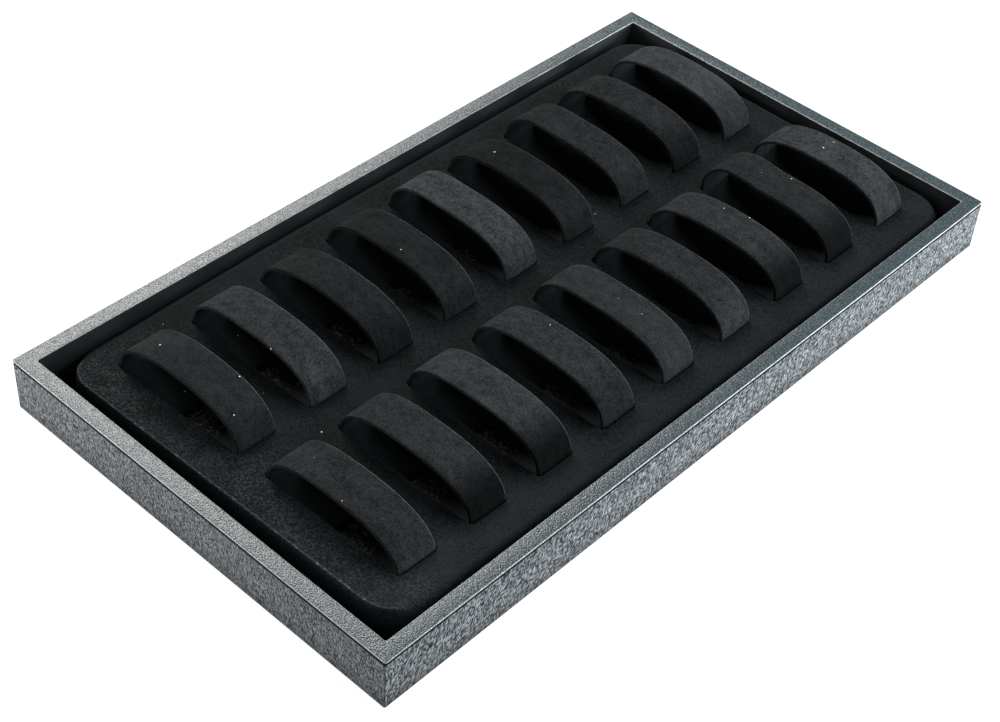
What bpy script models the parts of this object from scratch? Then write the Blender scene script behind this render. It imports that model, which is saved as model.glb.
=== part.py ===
"""Watch display tray: a moulded tray, a flocked liner with pockets, and open C-shaped collars.

Metres, +Z up, long side along X. The origin is at the centre of the tray's underside.
"""
import math

import bmesh
import bpy
from mathutils import Matrix, Vector

MM = 0.001

# Tray, one moulding
TRAY_LENGTH = 374.65 * MM
TRAY_WIDTH = 209.55 * MM
TRAY_HEIGHT = 25.4 * MM
RIM_WIDTH = 7.0 * MM
RIM_BAND_HEIGHT = 1.3 * MM
RIM_BAND_PROUD = 0.4 * MM
RIM_EDGE_RADIUS = 0.45 * MM
RIM_TOP_THICKNESS = 2.0 * MM
TRAY_WALL = 1.8 * MM
TRAY_FLOOR = 2.5 * MM
TRAY_CORNER_RADIUS = 0.9 * MM
WEB_THICKNESS = 1.5 * MM
WEB_PITCH = 45.0 * MM

# Liner, one drawn sheet
LINER_TOP = 21.5 * MM
LINER_SHEET = 1.2 * MM
LINER_SHOULDER_RADIUS = 5.0 * MM
LINER_CORNER_RADIUS = 13.0 * MM
LINER_DRAFT = math.radians(6.0)
LINER_SLACK_LONG = 6.1 * MM
LINER_SLACK_SHORT = 1.0 * MM
LINER_END_GAP = 0.65 * MM

# Collars, open C-shaped bands on edge
COLLAR_BAND_WIDTH = 19.0 * MM
COLLAR_THICKNESS = 1.6 * MM
COLLAR_LENGTH = 71.0 * MM
COLLAR_RISE = 18.7 * MM
COLLAR_SQUARENESS = 2.6
COLLAR_CURL_RADIUS = 10.5 * MM
COLLAR_LEG_SLOPE = math.radians(20.0)
COLLAR_OPENING = 19.0 * MM

# Pattern of pockets in the liner
ROWS = 2
PLACES = 9
END_MARGIN = 12.4 * MM
ROW_AISLE = 14.8 * MM
POCKET_CORNER_RADIUS = 1.6 * MM
POCKET_LIP_RADIUS = 0.8 * MM
POCKET_DRAFT = math.radians(0.5)

# Clearances
SEAT_GAP = 0.3 * MM
POCKET_SIDE_GAP = 0.35 * MM
POCKET_END_GAP = 0.35 * MM
CUT_OVERRUN = 5.0 * MM

# Mesh fineness
TRAY_CORNER_STEPS = 3
LINER_CORNER_STEPS = 7
POCKET_CORNER_STEPS = 2
SHOULDER_STEPS = 5
EDGE_STEPS = 2
COLLAR_TOP_STEPS = 26
COLLAR_CURL_STEPS = 5
SMOOTH_ANGLE = math.radians(35.0)


# Sizes that follow from the ones above

LINER_SEAT = TRAY_FLOOR + SEAT_GAP
COLLAR_SEAT = TRAY_FLOOR + SEAT_GAP
TRAY_INNER_LENGTH = TRAY_LENGTH - 2 * RIM_WIDTH
TRAY_INNER_WIDTH = TRAY_WIDTH - 2 * RIM_WIDTH
LINER_LENGTH = TRAY_INNER_LENGTH - LINER_SLACK_LONG
LINER_WIDTH = TRAY_INNER_WIDTH - LINER_SLACK_SHORT
LINER_SHIFT = LINER_SLACK_LONG / 2 - LINER_END_GAP
POCKET_DEPTH = LINER_TOP - LINER_SEAT
POCKET_FLARE = POCKET_DEPTH * math.tan(POCKET_DRAFT)
POCKET_WIDTH = COLLAR_BAND_WIDTH + 2 * (POCKET_SIDE_GAP + POCKET_FLARE)
POCKET_LENGTH = COLLAR_LENGTH + 2 * (POCKET_END_GAP + POCKET_FLARE)


def shoulder_profile(inset):
    """Offsets from the liner's foot outline and heights, from the foot up to the deck.

    An inset of 0 gives the outer skin; an inset of the sheet's thickness gives the inner one.
    """
    radius = max(LINER_SHOULDER_RADIUS - inset, LINER_SHEET / 2)
    top = LINER_TOP - inset
    lean = math.tan(LINER_DRAFT)
    wall = inset / math.cos(LINER_DRAFT)
    centre_height = top - radius
    shoulder_start = centre_height + radius * math.sin(LINER_DRAFT)
    start_offset = wall + (shoulder_start - LINER_SEAT) * lean
    centre_offset = start_offset + radius * math.cos(LINER_DRAFT)
    points = [(wall, LINER_SEAT)]
    for step in range(SHOULDER_STEPS + 1):
        angle = LINER_DRAFT + (math.pi / 2 - LINER_DRAFT) * step / SHOULDER_STEPS
        points.append((centre_offset - radius * math.cos(angle), centre_height + radius * math.sin(angle)))
    return points


DECK_INSET = shoulder_profile(0.0)[-1][0]
DECK_LENGTH = LINER_LENGTH - 2 * DECK_INSET
PLACE_PITCH = (DECK_LENGTH - 2 * END_MARGIN - POCKET_WIDTH) / (PLACES - 1)
ROW_PITCH = POCKET_LENGTH + ROW_AISLE


def pocket_centres():
    """Row number, place number and centre of each pocket.

    The places are spread evenly along the deck between its end margins, and the rows lie side by
    side with an aisle between them.
    """
    centres = []
    for row in range(ROWS):
        for place in range(PLACES):
            x = LINER_SHIFT + (place - (PLACES - 1) / 2) * PLACE_PITCH
            y = (row - (ROWS - 1) / 2) * ROW_PITCH
            centres.append((row + 1, place + 1, x, y))
    return centres


def clear_scene():
    for old in list(bpy.data.objects):
        bpy.data.objects.remove(old, do_unlink=True)


def make_material(name, colour, roughness, metallic=0.0):
    material = bpy.data.materials.new(name)
    material.use_nodes = True
    shader = material.node_tree.nodes["Principled BSDF"]
    shader.inputs["Base Color"].default_value = (*colour, 1.0)
    shader.inputs["Roughness"].default_value = roughness
    shader.inputs["Metallic"].default_value = metallic
    material.diffuse_color = (*colour, 1.0)
    return material


def grained_plastic():
    return make_material("grained_black_plastic", (0.022, 0.022, 0.024), 0.42)


def flocked_sheet():
    return make_material("flocked_black_sheet", (0.020, 0.022, 0.023), 0.95)


def suede_cloth():
    return make_material("black_suede_cloth", (0.034, 0.033, 0.035), 0.92)


def add_object(name, mesh_builder, material=None):
    """Make a mesh object from a bmesh, smooth on its round faces and sharp at its real edges."""
    mesh = bpy.data.meshes.new(name)
    bmesh.ops.recalc_face_normals(mesh_builder, faces=mesh_builder.faces)
    mesh_builder.to_mesh(mesh)
    mesh_builder.free()
    mesh.shade_smooth()
    mesh.set_sharp_from_angle(angle=SMOOTH_ANGLE)
    thing = bpy.data.objects.new(name, mesh)
    bpy.context.scene.collection.objects.link(thing)
    if material is not None:
        mesh.materials.append(material)
    return thing


def make_cutter(name, mesh_builder):
    cutter = add_object(name, mesh_builder)
    cutter.hide_render = True
    cutter.display_type = "WIRE"
    return cutter


def subtract(thing, cutter):
    cut = thing.modifiers.new(cutter.name, "BOOLEAN")
    cut.operation = "DIFFERENCE"
    cut.solver = "EXACT"
    cut.object = cutter


def rounded_rectangle(length, width, radius, corner_steps):
    """Points of a rectangle centred on the origin with round corners, counter-clockwise."""
    radius = min(radius, length / 2, width / 2)
    points = []
    for quarter, (side_x, side_y) in enumerate(((1, 1), (-1, 1), (-1, -1), (1, -1))):
        centre_x = side_x * (length / 2 - radius)
        centre_y = side_y * (width / 2 - radius)
        for step in range(corner_steps + 1):
            angle = (quarter + step / corner_steps) * math.pi / 2
            points.append((centre_x + radius * math.cos(angle), centre_y + radius * math.sin(angle)))
    return points


def loft(builder, rings):
    """Join rings of points, each a closed loop of the same count, and cap both ends."""
    loops = [[builder.verts.new(point) for point in ring] for ring in rings]
    for lower, upper in zip(loops, loops[1:]):
        for index in range(len(lower)):
            after = (index + 1) % len(lower)
            builder.faces.new((lower[index], lower[after], upper[after], upper[index]))
    builder.faces.new(tuple(reversed(loops[0])))
    builder.faces.new(tuple(loops[-1]))


def loft_rectangles(builder, sections, corner_steps, centre=(0.0, 0.0)):
    """Loft rounded rectangles, each given as length, width, corner radius and height."""
    rings = []
    for length, width, radius, height in sections:
        outline = rounded_rectangle(length, width, radius, corner_steps)
        rings.append([Vector((x + centre[0], y + centre[1], height)) for x, y in outline])
    loft(builder, rings)


def tray_profile():
    """Inset from the tray's outline and height, up the outside, over the rim and down the inside."""
    band_foot = TRAY_HEIGHT - RIM_BAND_HEIGHT
    points = [(RIM_BAND_PROUD, 0.0), (RIM_BAND_PROUD, band_foot), (0.0, band_foot)]
    for step in range(EDGE_STEPS + 1):
        angle = math.pi / 2 * step / EDGE_STEPS
        inset = RIM_EDGE_RADIUS * (1 - math.cos(angle))
        points.append((inset, TRAY_HEIGHT - RIM_EDGE_RADIUS * (1 - math.sin(angle))))
    for step in range(EDGE_STEPS, -1, -1):
        angle = math.pi / 2 * step / EDGE_STEPS
        inset = RIM_WIDTH - RIM_EDGE_RADIUS * (1 - math.cos(angle))
        points.append((inset, TRAY_HEIGHT - RIM_EDGE_RADIUS * (1 - math.sin(angle))))
    points.append((RIM_WIDTH, TRAY_FLOOR))
    return points


def rim_channels():
    """Boxes that hollow the rim from below, with a web left between each and the next."""
    builder = bmesh.new()
    outer_wall = RIM_BAND_PROUD + TRAY_WALL
    channel_width = RIM_WIDTH - TRAY_WALL - outer_wall
    middle_inset = outer_wall + channel_width / 2
    top = TRAY_HEIGHT - RIM_TOP_THICKNESS
    height = top + CUT_OVERRUN
    long_run = TRAY_LENGTH - 2 * outer_wall
    short_run = TRAY_WIDTH - 2 * (RIM_WIDTH - TRAY_WALL) - 2 * WEB_THICKNESS
    for run, along_x in ((long_run, True), (short_run, False)):
        bays = max(1, round(run / WEB_PITCH))
        bay_length = (run - (bays - 1) * WEB_THICKNESS) / bays
        for bay in range(bays):
            along = -run / 2 + bay_length / 2 + bay * (bay_length + WEB_THICKNESS)
            for side in (-1, 1):
                if along_x:
                    place = Vector((along, side * (TRAY_WIDTH / 2 - middle_inset), top - height / 2))
                    size = Vector((bay_length, channel_width, height))
                else:
                    place = Vector((side * (TRAY_LENGTH / 2 - middle_inset), along, top - height / 2))
                    size = Vector((channel_width, bay_length, height))
                shape = Matrix.Translation(place) @ Matrix.Diagonal((*size, 1.0))
                bmesh.ops.create_cube(builder, size=1.0, matrix=shape)
    return make_cutter("rim_channel_cutter", builder)


def make_tray():
    builder = bmesh.new()
    sections = []
    for inset, height in tray_profile():
        sections.append((TRAY_LENGTH - 2 * inset, TRAY_WIDTH - 2 * inset, TRAY_CORNER_RADIUS, height))
    loft_rectangles(builder, sections, TRAY_CORNER_STEPS)
    tray = add_object("tray", builder, grained_plastic())
    subtract(tray, rim_channels())
    return tray


def liner_sections(inset, foot_height):
    """Rounded rectangles of the liner's outer skin, or of its inner one for an inset."""
    profile = shoulder_profile(inset)
    deck_radius = LINER_CORNER_RADIUS - inset
    deck_offset = profile[-1][0]
    sections = []
    for offset, height in profile:
        radius = deck_radius + deck_offset - offset
        sections.append((LINER_LENGTH - 2 * offset, LINER_WIDTH - 2 * offset, radius, height))
    foot = sections[0]
    if foot_height < foot[3]:
        sections.insert(0, (foot[0], foot[1], foot[2], foot_height))
    return sections


def pocket_walls():
    """Solid blocks of the pockets' outer size, kept out of the liner's hollow underside."""
    builder = bmesh.new()
    length = POCKET_LENGTH + 2 * LINER_SHEET
    width = POCKET_WIDTH + 2 * LINER_SHEET
    radius = POCKET_CORNER_RADIUS + LINER_SHEET
    for _, _, x, y in pocket_centres():
        sections = [(width, length, radius, LINER_SEAT - 2 * CUT_OVERRUN),
                    (width, length, radius, LINER_TOP + CUT_OVERRUN)]
        loft_rectangles(builder, sections, POCKET_CORNER_STEPS, (x, y))
    return make_cutter("pocket_wall_guide", builder)


def pocket_holes():
    """The hollow of each pocket, open at the bottom, with a rounded lip at the deck."""
    builder = bmesh.new()
    foot = -2 * POCKET_FLARE
    for _, _, x, y in pocket_centres():
        growths = [(foot, LINER_SEAT - CUT_OVERRUN), (foot, LINER_SEAT)]
        for step in range(EDGE_STEPS + 1):
            angle = math.pi / 2 * step / EDGE_STEPS
            growth = 2 * POCKET_LIP_RADIUS * (1 - math.cos(angle))
            growths.append((growth, LINER_TOP - POCKET_LIP_RADIUS * (1 - math.sin(angle))))
        growths.append((growths[-1][0], LINER_TOP + CUT_OVERRUN))
        sections = [(POCKET_WIDTH + growth, POCKET_LENGTH + growth, POCKET_CORNER_RADIUS + growth / 2, height)
                    for growth, height in growths]
        loft_rectangles(builder, sections, POCKET_CORNER_STEPS, (x, y))
    return make_cutter("pocket_hole_cutter", builder)


def make_liner():
    builder = bmesh.new()
    centre = (LINER_SHIFT, 0.0)
    loft_rectangles(builder, liner_sections(0.0, LINER_SEAT), LINER_CORNER_STEPS, centre)
    liner = add_object("liner", builder, flocked_sheet())
    hollow_builder = bmesh.new()
    hollow_sections = liner_sections(LINER_SHEET, LINER_SEAT - CUT_OVERRUN)
    loft_rectangles(hollow_builder, hollow_sections, LINER_CORNER_STEPS, centre)
    hollow = make_cutter("liner_hollow_cutter", hollow_builder)
    subtract(hollow, pocket_walls())
    subtract(liner, hollow)
    subtract(liner, pocket_holes())
    return liner


def collar_midline():
    """Centre line of the band seen along X, from one tip over the crown to the other.

    The upper part is half a superellipse. Each side then curls under in an arc and ends in a
    straight leg that slopes down to the tray's floor beside the opening.
    """
    half_length = (COLLAR_LENGTH - COLLAR_THICKNESS) / 2
    rise = COLLAR_RISE - COLLAR_THICKNESS / 2
    curl = COLLAR_CURL_RADIUS - COLLAR_THICKNESS / 2
    turn = math.pi / 2 - COLLAR_LEG_SLOPE
    curl_centre = half_length - curl
    curl_end = curl_centre + curl * math.cos(turn)
    leg_reach = curl_end - COLLAR_OPENING / 2
    leg_drop = leg_reach * math.tan(COLLAR_LEG_SLOPE)
    half_skin = COLLAR_THICKNESS / 2 * math.cos(COLLAR_LEG_SLOPE)
    waist = COLLAR_SEAT + half_skin + leg_drop + curl * math.sin(turn)
    side = [(COLLAR_OPENING / 2, COLLAR_SEAT + half_skin)]
    for step in range(COLLAR_CURL_STEPS + 1):
        angle = turn * (1 - step / COLLAR_CURL_STEPS)
        side.append((curl_centre + curl * math.cos(angle), waist - curl * math.sin(angle)))
    crown = []
    for step in range(1, COLLAR_TOP_STEPS):
        angle = math.pi * step / COLLAR_TOP_STEPS
        across = math.copysign(abs(math.cos(angle)) ** (2 / COLLAR_SQUARENESS), math.cos(angle))
        crown.append((half_length * across, waist + rise * math.sin(angle) ** (2 / COLLAR_SQUARENESS)))
    other_side = [(-y, z) for y, z in reversed(side)]
    return [Vector(point) for point in side + crown + other_side]


def collar_mesh(material):
    """The band: its centre line thickened to both sides and made as wide as the strip."""
    line = collar_midline()
    builder = bmesh.new()
    rings = []
    for index, point in enumerate(line):
        before = line[max(index - 1, 0)]
        after = line[min(index + 1, len(line) - 1)]
        direction = (after - before).normalized()
        outward = Vector((direction.y, -direction.x)) * COLLAR_THICKNESS / 2
        near = -COLLAR_BAND_WIDTH / 2
        far = COLLAR_BAND_WIDTH / 2
        inner = point - outward
        outer = point + outward
        rings.append([Vector((near, *inner)), Vector((far, *inner)), Vector((far, *outer)),
                      Vector((near, *outer))])
    loft(builder, rings)
    mesh_holder = add_object("collar", builder, material)
    mesh = mesh_holder.data
    bpy.data.objects.remove(mesh_holder, do_unlink=True)
    return mesh


def make_collars():
    mesh = collar_mesh(suede_cloth())
    for row, place, x, y in pocket_centres():
        collar = bpy.data.objects.new(f"collar_row{row}_place{place}", mesh)
        collar.location = (x, y, 0.0)
        bpy.context.scene.collection.objects.link(collar)


def build():
    clear_scene()
    make_tray()
    make_liner()
    make_collars()


build()
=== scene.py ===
"""Looks of the watch display tray: grained tray, flocked liner and eighteen suede collars.

Metres, +Z up, long side along X. Every size comes from the frame or from the named values below.
"""

import math
import random

import bmesh
import bpy
from mathutils import Matrix, Vector, noise


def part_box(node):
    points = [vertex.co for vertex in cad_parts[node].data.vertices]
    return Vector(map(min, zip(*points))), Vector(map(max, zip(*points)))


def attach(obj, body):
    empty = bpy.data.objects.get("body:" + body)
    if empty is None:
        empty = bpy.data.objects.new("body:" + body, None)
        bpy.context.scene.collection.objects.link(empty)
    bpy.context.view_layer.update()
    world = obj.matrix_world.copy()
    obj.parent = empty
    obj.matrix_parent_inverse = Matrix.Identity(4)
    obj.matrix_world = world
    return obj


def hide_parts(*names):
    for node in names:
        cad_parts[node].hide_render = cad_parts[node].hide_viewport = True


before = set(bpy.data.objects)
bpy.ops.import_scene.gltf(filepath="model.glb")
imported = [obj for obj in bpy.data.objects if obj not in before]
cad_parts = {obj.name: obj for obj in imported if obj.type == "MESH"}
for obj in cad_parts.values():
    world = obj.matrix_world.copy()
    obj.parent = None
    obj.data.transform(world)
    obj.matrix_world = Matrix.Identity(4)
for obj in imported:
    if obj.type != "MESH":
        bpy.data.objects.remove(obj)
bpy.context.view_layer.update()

MM = 0.001

# Camera, fitted to the corners of the tray in the photograph
PICTURE_WIDTH = 1000
PICTURE_HEIGHT = 722
FOCAL_LENGTH_PIXELS = 1943.5
AXIS_PIXEL = Vector((535.4, 349.8))
CAMERA_AZIMUTH = math.radians(-50.787)
CAMERA_ELEVATION = math.radians(42.299)
CAMERA_ROLL = math.radians(5.049)
CAMERA_DISTANCE = 835.7 * MM
CAMERA_ASIDE = Vector((3.13, -12.73)) * MM
SENSOR_WIDTH = 36.0
CAMERA_NEAR = 0.01
CAMERA_FAR = 20.0

# Tray
TRAY_LOW, TRAY_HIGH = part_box("tray")
TRAY_LENGTH = TRAY_HIGH.x - TRAY_LOW.x
TRAY_WIDTH = TRAY_HIGH.y - TRAY_LOW.y
TRAY_HEIGHT = TRAY_HIGH.z
RIM_WIDTH = 7.0 * MM
RIM_BAND_HEIGHT = 0.8 * MM
RIM_BAND_PROUD = 0.15 * MM
RIM_GROOVE_DEPTH = 0.6 * MM
RIM_GROOVE_HEIGHT = 1.0 * MM
RIM_EDGE_RADIUS = 0.45 * MM
RIM_TOP_THICKNESS = 2.0 * MM
TRAY_WALL = 1.8 * MM
TRAY_FLOOR = 2.5 * MM
TRAY_CORNER_RADIUS = 0.9 * MM
TRAY_FOOT_RADIUS = 0.3 * MM
TRAY_SHARP_ANGLE = math.radians(40.0)
WEB_THICKNESS = 1.5 * MM
WEB_PITCH = 45.0 * MM
CUT_OVERRUN = 5.0 * MM

# Liner
LINER_LOW, LINER_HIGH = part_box("liner")
LINER_CENTRE = (LINER_LOW + LINER_HIGH) / 2
LINER_LENGTH = LINER_HIGH.x - LINER_LOW.x
LINER_WIDTH = LINER_HIGH.y - LINER_LOW.y
LINER_TOP = LINER_HIGH.z
LINER_SEAT = LINER_LOW.z
LINER_SHEET = 1.2 * MM
LINER_SHOULDER_RADIUS = 5.0 * MM
LINER_CORNER_RADIUS = 13.0 * MM
LINER_DRAFT = math.radians(6.0)
LINER_WAVE = 0.16 * MM
LINER_WAVE_LENGTH = 34.0 * MM
LINER_RIPPLE = 0.05 * MM
LINER_RIPPLE_LENGTH = 9.0 * MM
LINER_FOLD_RADIUS = 1.4 * MM
LEAST_RADIUS = 0.1 * MM
LINER_RISE = 0.9 * MM
LINER_RISE_SLOPE = 0.030
LINER_RISE_START = -50.0 * MM
LINER_SHARP_ANGLE = math.radians(60.0)

# Collars
ROWS = 2
PLACES = 9
COLLAR_LOW, COLLAR_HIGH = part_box("collar_row1_place1")
COLLAR_BAND_WIDTH = COLLAR_HIGH.x - COLLAR_LOW.x
COLLAR_LENGTH = COLLAR_HIGH.y - COLLAR_LOW.y
COLLAR_TOP = COLLAR_HIGH.z
COLLAR_SEAT = COLLAR_LOW.z
COLLAR_THICKNESS = 1.6 * MM
COLLAR_SQUARENESS = 2.6
COLLAR_CURL_RADIUS = 10.5 * MM
COLLAR_LEG_SLOPE = math.radians(20.0)
COLLAR_OPENING = 19.0 * MM
COLLAR_EDGE_RADIUS = 0.62 * MM
COLLAR_PILLOW = 0.12 * MM
COLLAR_LEAN = math.radians(0.5)
COLLAR_SLIDE = 0.2 * MM
COLLAR_WANDER = 0.12 * MM
COLLAR_WANDER_LENGTH = 9.0 * MM
COLLAR_SWELL = 0.07 * MM
COLLAR_SWELL_LENGTH = 12.0 * MM
COLLAR_SWELL_WIDTH = 7.0 * MM
COLLAR_SHARP_ANGLE = math.radians(70.0)
TIP_THICKNESS = 0.45
SEAM_DEPTH = 0.1 * MM
SEAM_LIP = 0.35
# Painted shade on the collars' near edges: their tone is darkened by this share
NEAR_EDGE_SHADE = 0.5
# How far a seam lies from the middle at most, and the least and greatest width of one, in millimetres
SEAM_ASIDE = 1.2
SEAM_WIDTHS = (0.4, 1.0)
# How far apart two collars lie in the pattern of the cloth, of the swells and of the wandering edges
PATTERN_SHIFT = 40.0
SWELL_SHIFT = 5.1
WANDER_SHIFT = 7.3
EDGE_SHIFT = 3.0
CHANCE_SEED = 7

# Pockets
POCKET_GAP = 0.35 * MM
POCKET_DRAFT = math.radians(0.5)
POCKET_FLARE = (LINER_TOP - LINER_SEAT) * math.tan(POCKET_DRAFT)
POCKET_WIDTH = COLLAR_BAND_WIDTH + 2 * (POCKET_GAP + POCKET_FLARE)
POCKET_LENGTH = COLLAR_LENGTH + 2 * (POCKET_GAP + POCKET_FLARE)
POCKET_CORNER_RADIUS = 1.6 * MM
POCKET_LIP_RADIUS = 0.8 * MM
END_STRIP = 15.6 * MM
SIDE_STRIP = 40.6 * MM

# Mesh fineness, and how near two points have to be to count as one
SAME_PLACE = 0.001 * MM
TRAY_CORNER_STEPS = 6
RIM_EDGE_STEPS = 5
CELL_STEPS_X = 12
CELL_STEPS_Y = 28
POCKET_ARC_STEPS = 2
LINER_ARC_STEPS = 6
SHOULDER_STEPS = 9
LIP_STEPS = 4
DECK_RINGS = 4
WALL_RINGS = 5
FOLD_RINGS = (2, 3, 4)
STATION_SPACING = 1.1 * MM
EDGE_ARC_STEPS = 4
CURL_STEPS = 60
CROWN_STEPS = 240

# How light the pile looks on each collar's crown and on its near leg, place 1 to 9
CROWN_TONE = {1: (0.84, 0.95, 1.30, 1.05, 1.00, 0.82, 1.08, 0.76, 1.55),
              2: (0.76, 1.15, 0.58, 0.52, 1.50, 0.42, 0.72, 0.70, 1.60)}
LEG_TONE = {1: (0.88, 0.14, 0.15, 0.60, 1.08, 1.10, 0.15, 0.13, 1.15),
            2: (0.88, 1.55, 0.40, 0.72, 1.40, 0.62, 0.76, 0.30, 0.85)}
# How much higher the far end of each collar's crown stands, in millimetres
FAR_RISE = {1: (0.0, 0.0, 0.0, 0.0, 0.7, 0.0, 0.0, 3.2, 0.0),
            2: (-1.2, 0.0, -1.4, 0.0, 1.2, 0.0, 1.6, 0.0, 0.0)}

# Grain and finish of the plastic, with sizes in millimetres. A wall's creases have a width, a height and
# a lean. Pads, and glint pads with a painted highlight, start and end at heights of the grain: the ends are
# for long, then short walls
OUTSIDE_DEPTH = 2.0
LONG_WALL_CREASES = (1.18, 3.7, 0.50)
SHORT_WALL_CREASES = (1.02, 2.1, 0.25)
PAD_START = 0.02
PAD_ENDS = (0.108, 0.090)
GLINT_PAD_START = 0.08
GLINT_PAD_ENDS = (0.28, 0.50)
WALL_DRIFT = 7.0
FOOT_SHADE = 0.52
FOOT_SHADE_HEIGHT = 10.0
RIM_PEBBLE = 0.60
FLOOR_PEBBLE = 0.95
RIM_HIGHLIGHT_PATCH = 3.0
CREASE_RELIEF = 3.0
PLASTIC_RELIEF = 0.22 * MM
WALL_GLOSS = 0.22
RIM_GLOSS = 0.37
WALL_ROUGHNESS = 0.42
RIM_ROUGHNESS = 0.27
CREASE_ROUGHNESS = 0.80
GROOVE_ROUGHNESS = 0.95
EDGE_ROUGHNESS = 0.30

# Colours of the plastic
WALL_DARK = (0.088, 0.098, 0.106, 1)
WALL_LIGHT = (0.125, 0.137, 0.148, 1)
# Painted highlight on the glint pads of the walls' grain
WALL_GLINT = (0.300, 0.322, 0.340, 1)
# Painted shade, laid in the walls' creases and towards their foot
PAINTED_SHADE = (0.006, 0.008, 0.010, 1)
# Painted shade low down the inside walls, and painted light near their top
INNER_SHADED = (0.004, 0.005, 0.006, 1)
INNER_LIT = (0.022, 0.025, 0.026, 1)
# Painted glints on the grain of the floor inside
FLOOR_GLINT = (0.085, 0.088, 0.094, 1)
RIM_DARK = (0.025, 0.038, 0.043, 1)
# Painted sparkle on the rim's fine grain
RIM_SPARKLE = (0.060, 0.085, 0.094, 1)
BAND_COLOUR = (0.10, 0.105, 0.11, 1)
# Painted highlight on the rim's rounded edge
RIM_EDGE_HIGHLIGHT = (0.42, 0.44, 0.46, 1)
# Painted shade in the groove below the band
GROOVE_SHADE = (0.002, 0.002, 0.003, 1)

# Colours of the flock, the suede and the lint
FLOCK_DARK = (0.0014, 0.0018, 0.002, 1)
FLOCK_LIGHT = (0.0118, 0.0154, 0.0165, 1)
# Painted glints on the liner's low end
FLOCK_END_GLINT = (0.02, 0.0245, 0.0255, 1)
# Painted light on the skirt at the liner's low end
FLOCK_SKIRT_LIGHT = (0.016, 0.021, 0.0245, 1)
# Painted glints in dashes along the crisp edge at the low end
FLOCK_FOLD_GLINT = (0.13, 0.14, 0.145, 1)
SUEDE_DARK = (0.0044, 0.0058, 0.0063, 1)
SUEDE_LIGHT = (0.033, 0.035, 0.0368, 1)
SUEDE_INNER = (0.0095, 0.0115, 0.0125, 1)
# Painted highlight along the collars' far edges
SUEDE_EDGE_HIGHLIGHT = (0.150, 0.160, 0.165, 1)
SUEDE_SEAM = (0.022, 0.024, 0.026, 1)
LINT_COLOUR = (0.62, 0.60, 0.57, 1)

# Where the liner's low end, with painted glints, begins and is full along X, and its strip of painted light
# along Y, in millimetres
LOW_END_REACH = (-128.0, -164.0)
LIT_STRIP_REACH = (-72.0, -84.0)

# Nap and finish of the flock and the suede, with sizes in millimetres
FLOCK_FIBRE = 0.62
FLOCK_TUFT = 1.5
FLOCK_BLOTCH = 16.0
LEATHER_GRAIN = 0.66
LEATHER_PATCH = 6.0
FOLD_DASH = 2.4
FLOCK_RELIEF = 0.14 * MM
FLOCK_ROUGHNESS = 0.85
LEATHER_ROUGHNESS = 0.60
SUEDE_FIBRE = 0.66
SUEDE_BLOTCH = 3.2
SUEDE_BRUSHED = 5.5
SUEDE_RELIEF = 0.10 * MM
EDGE_HIGHLIGHT_PATCH = 1.6
SEAM_PATCH = 2.4
SUEDE_ROUGHNESS = 0.95
CLOTH_BUMP = 0.9
FLOCK_GLOSS = 0.06
SUEDE_GLOSS = 0.03
SHEEN_WEIGHT = 0.005
FLOCK_SHEEN_ROUGHNESS = 0.5
SUEDE_SHEEN_ROUGHNESS = 0.45
FLOCK_SHEEN_TINT = (0.80, 0.92, 0.95, 1)
SUEDE_SHEEN_TINT = (0.90, 0.95, 1.0, 1)

# Lint: spacing in millimetres and the share of places that have a speck, and the size of the specks
FLOCK_LINT = (26.0, 0.2)
SUEDE_LINT = (12.0, 0.09)
LINT_RADIUS = 0.12
LINT_SPREAD = 0.25

# Floor, surroundings and lamps: place, aim, width, height, watts and colour of each lamp
WHITE = (1, 1, 1, 1)
FLOOR_SIZE = 30.0
FLOOR_SHARP_ANGLE = math.radians(30.0)
FLOOR_BOUNCE = (0.30, 0.30, 0.30, 1)
FLOOR_SHADOWED = (0.22, 0.22, 0.22, 1)
FLOOR_GLOW = 0.90
WORLD_STRENGTH = 0.22
WORLD_COLOUR = (0.88, 0.97, 1.0, 1)
LAMPS = (
    ("back_softbox", (0.48, 0.99, 1.02), (0.0, 0.0, 0.0), 0.80, 0.65, 27.5, (1.0, 0.955, 0.925)),
    ("right_fill", (0.62, -0.86, 0.70), (0.05, 0.0, 0.0), 0.8, 0.6, 12.0, (0.96, 0.99, 1.0)),
    ("left_fill", (-0.98, -0.12, 0.72), (0.0, 0.0, 0.0), 0.8, 0.6, 2.2, (0.96, 0.99, 1.0)),
    ("low_right_lamp", (0.66, -0.66, 0.14), (0.05, -0.10, 0.01), 0.5, 0.22, 13.0, (0.93, 0.98, 1.0)),
    ("low_left_lamp", (-0.52, 0.42, 0.11), (-0.19, 0.0, 0.015), 0.30, 0.18, 3.6, (1.0, 0.99, 0.97)),
)


def collar_centre(row, place):
    """Centre of the box round a collar's solid."""
    low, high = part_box(f"collar_row{row}_place{place}")
    return (low + high) / 2


def smooth_step(low, high, value):
    """Soft step from 0 at the low value to 1 at the high one."""
    share = min(max((value - low) / (high - low), 0.0), 1.0)
    return share * share * (3 - 2 * share)


def part_way(first, second, share):
    """The place at a share of the way from one place to another."""
    return tuple(a + (b - a) * share for a, b in zip(first, second))


def new_object(name, data):
    """A new object in the scene."""
    thing = bpy.data.objects.new(name, data)
    bpy.context.scene.collection.objects.link(thing)
    return thing


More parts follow.
